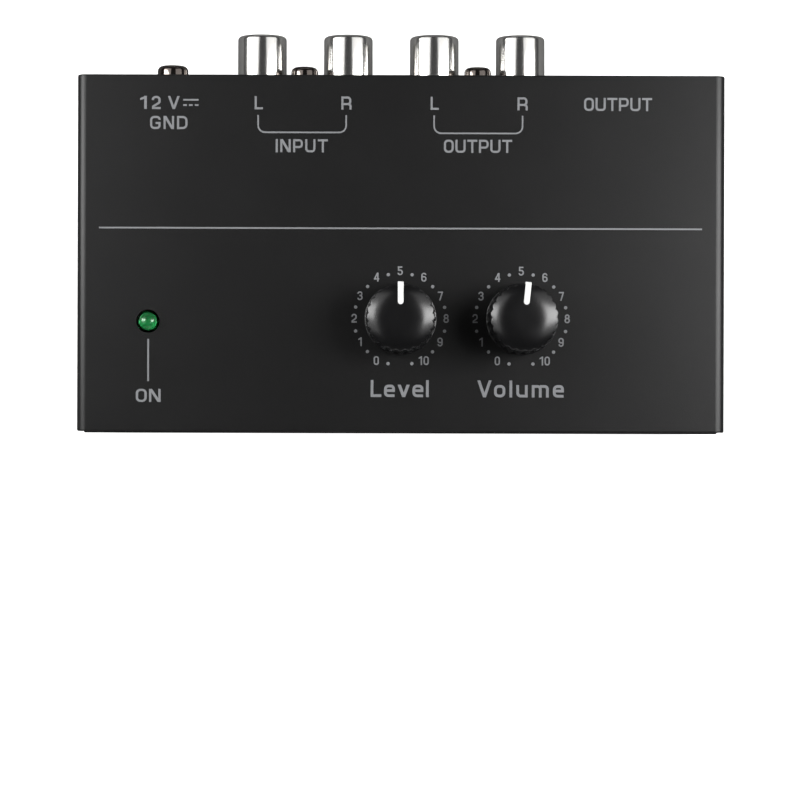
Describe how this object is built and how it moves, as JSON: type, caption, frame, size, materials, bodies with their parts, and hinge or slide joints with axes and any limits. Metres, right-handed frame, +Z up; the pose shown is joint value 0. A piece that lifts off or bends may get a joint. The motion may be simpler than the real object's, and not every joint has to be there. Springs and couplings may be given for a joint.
{
  "type": "phono preamp",
  "caption": "Compact phono preamplifier: black folded-steel box with level and volume knobs, a green power lamp, phono sockets, an output jack, a power inlet and an earth screw.",
  "frame": {"origin": "middle of the whole footprint, sockets included, on the plane that the rubber feet stand on", "axes": "+X to the right seen from the front, +Y to the back, where the sockets are, +Z up"},
  "size_m": [0.107, 0.0656, 0.045],
  "materials": {
    "case_paint": "black powder coat, fine grain",
    "black_screw": "black oxide, satin",
    "bronze_screw": "dark nickel plate",
    "steel": "zinc plated",
    "brass": "turned",
    "nickel": "bright nickel plate",
    "rubber": "matte",
    "board": "green solder mask",
    "black_plastic": "moulded, matte",
    "white_plastic": "moulded",
    "red_plastic": "moulded",
    "knob_plastic": "moulded, satin gloss",
    "pointer_plastic": "moulded, white",
    "green_lens": "tinted clear resin",
    "can_sleeve": "shrink sleeve",
    "film_red": "dipped",
    "resistor_blue": "lacquered"
  },
  "bodies": {
    "case": {"board_screws": "steel", "board_standoffs": "brass", "bottom_chassis": "case_paint", "case_screws": "black_screw", "circuit_board": "board", "coupling_capacitors": "can_sleeve", "dc_jack_housing": "black_plastic", "dc_jack_pin": "nickel", "dc_jack_spring": "nickel", "film_capacitors": "film_red", "ground_nut": "steel", "led_leads": "steel", "led_spacer": "white_plastic", "level_pot_body": "steel", "level_pot_bushing": "brass", "op_amps": "black_plastic", "power_capacitors": "can_sleeve", "power_led": "green_lens", "rca_block_screws": "bronze_screw", "rca_contact_input_left": "nickel", "rca_contact_input_right": "nickel", "rca_contact_output_left": "nickel", "rca_contact_output_right": "nickel", "rca_input_block": "black_plastic", "rca_insulator_input_left": "white_plastic", "rca_insulator_input_right": "red_plastic", "rca_insulator_output_left": "white_plastic", "rca_insulator_output_right": "red_plastic", "rca_output_block": "black_plastic", "rca_shell_input_left": "nickel", "rca_shell_input_right": "nickel", "rca_shell_output_left": "nickel", "rca_shell_output_right": "nickel", "rectifier_diode": "black_plastic", "resistors": "resistor_blue", "rubber_foot_back_left": "rubber", "rubber_foot_back_right": "rubber", "rubber_foot_front_left": "rubber", "rubber_foot_front_right": "rubber", "top_cover": "case_paint", "trs_jack_housing": "black_plastic", "trs_ring_contact": "nickel", "trs_sleeve_contact": "nickel", "trs_tip_contact": "nickel", "voltage_regulator": "black_plastic", "volume_pot_body": "steel", "volume_pot_bushing": "brass"},
    "level_dial": {"level_knob": "knob_plastic", "level_pointer": "pointer_plastic", "level_shaft": "steel"},
    "volume_dial": {"volume_knob": "knob_plastic", "volume_pointer": "pointer_plastic", "volume_shaft": "steel"},
    "earth_washer": {"ground_washer": "bronze_screw"},
    "earth_screw": {"ground_screw": "bronze_screw"}
  },
  "joints": [
    {"name": "level_knob_turn", "type": "hinge", "parent": "case", "child": "level_dial", "pos_m": [0, -0.01445, 0.0335], "axis": [0, 0, 1], "range_deg": [-150, 150]},
    {"name": "volume_knob_turn", "type": "hinge", "parent": "case", "child": "volume_dial", "pos_m": [0.0194, -0.01445, 0.0335], "axis": [0, 0, 1], "range_deg": [-143.6, 156.4]},
    {"name": "earth_washer_travel", "type": "slide", "parent": "case", "child": "earth_washer", "axis": [0, 1, 0], "range_m": [0, 0.002]},
    {"name": "earth_screw_turn", "type": "hinge", "parent": "earth_washer", "child": "earth_screw", "pos_m": [-0.03737, 0.0246, 0.0245], "axis": [0, 1, 0], "range_deg": [0, 1440]}
  ],
  "couplings": [
    {"joint": "earth_screw_turn", "follows": "earth_washer_travel", "rad_per_m": 12566}
  ]
}
